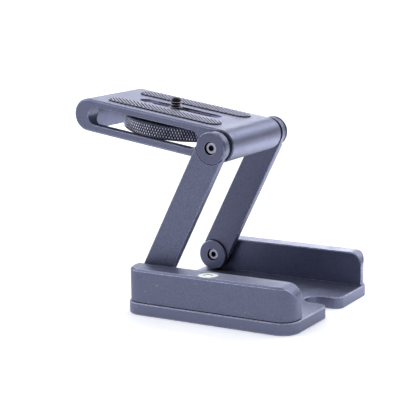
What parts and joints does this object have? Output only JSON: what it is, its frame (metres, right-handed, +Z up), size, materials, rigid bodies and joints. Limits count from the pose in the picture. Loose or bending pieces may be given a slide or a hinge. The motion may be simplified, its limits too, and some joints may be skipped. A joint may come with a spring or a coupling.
{
  "type": "folding tilt head",
  "caption": "Square folding tilt head: two arms hinge a camera platform over a flat base, with a sliding thumbwheel camera screw and a bubble level.",
  "frame": {"origin": "centre of the tripod thread in the underside of the base plate", "axes": "+X towards the notched front edge, the way the arms fold; +Z up from the base; the hinges lie along Y, and the wall with the bubble level is at -Y"},
  "size_m": [0.1521, 0.105, 0.1159],
  "materials": {
    "anodised_black": "fine-blasted black anodising",
    "anodised_knurl": "black anodised, diamond-knurled rim",
    "steel_black": "black oxide",
    "steel_bright": "plain turned steel",
    "acetal_black": "satin black",
    "rubber_grey": "diagonal-ribbed grip rubber",
    "level_white": "gloss white",
    "level_fluid": "clear vial over pale green-yellow fluid"
  },
  "bodies": {
    "base": {"base_plate": "anodised_black", "near_side_wall": "anodised_black", "far_side_wall": "anodised_black", "wall_screws": "steel_black", "tripod_bushing": "steel_bright", "level_housing": "level_white", "level_vial": "level_fluid", "near_lower_washer": "acetal_black", "far_lower_washer": "acetal_black", "near_lower_cap": "anodised_black", "far_lower_cap": "anodised_black", "lower_cap_washers": "acetal_black", "lower_pivot_screws": "steel_black"},
    "arms": {"near_arm": "anodised_black", "far_arm": "anodised_black"},
    "platform": {"platform": "anodised_black", "near_grip_pad": "rubber_grey", "far_grip_pad": "rubber_grey", "near_upper_spacer": "acetal_black", "far_upper_spacer": "acetal_black", "near_upper_cap": "anodised_black", "far_upper_cap": "anodised_black", "upper_cap_washers": "acetal_black", "upper_pivot_screws": "steel_black"},
    "carriage": {"sliding_shoe": "acetal_black"},
    "thumbwheel": {"thumbwheel": "anodised_knurl", "camera_screw": "steel_black", "retaining_clip": "steel_black"}
  },
  "joints": [
    {"name": "arm_tilt", "type": "hinge", "parent": "base", "child": "arms", "pos_m": [-0.0433, 0.0016, 0.0166], "axis": [0, 1, 0], "range_deg": [-96.6, 63.4]},
    {"name": "platform_tilt", "type": "hinge", "parent": "arms", "child": "platform", "pos_m": [-0.00452, 0.0016, 0.09403], "axis": [0, 1, 0], "range_deg": [-71.7, 90]},
    {"name": "screw_slide", "type": "slide", "parent": "platform", "child": "carriage", "axis": [-0.9895, 0, 0.1444], "range_m": [-0.0038, 0.01]},
    {"name": "thumbwheel_spin", "type": "hinge", "parent": "carriage", "child": "thumbwheel", "pos_m": [-0.05014, 0.0016, 0.10069], "axis": [0.1444, 0, 0.9895], "continuous": true}
  ]
}
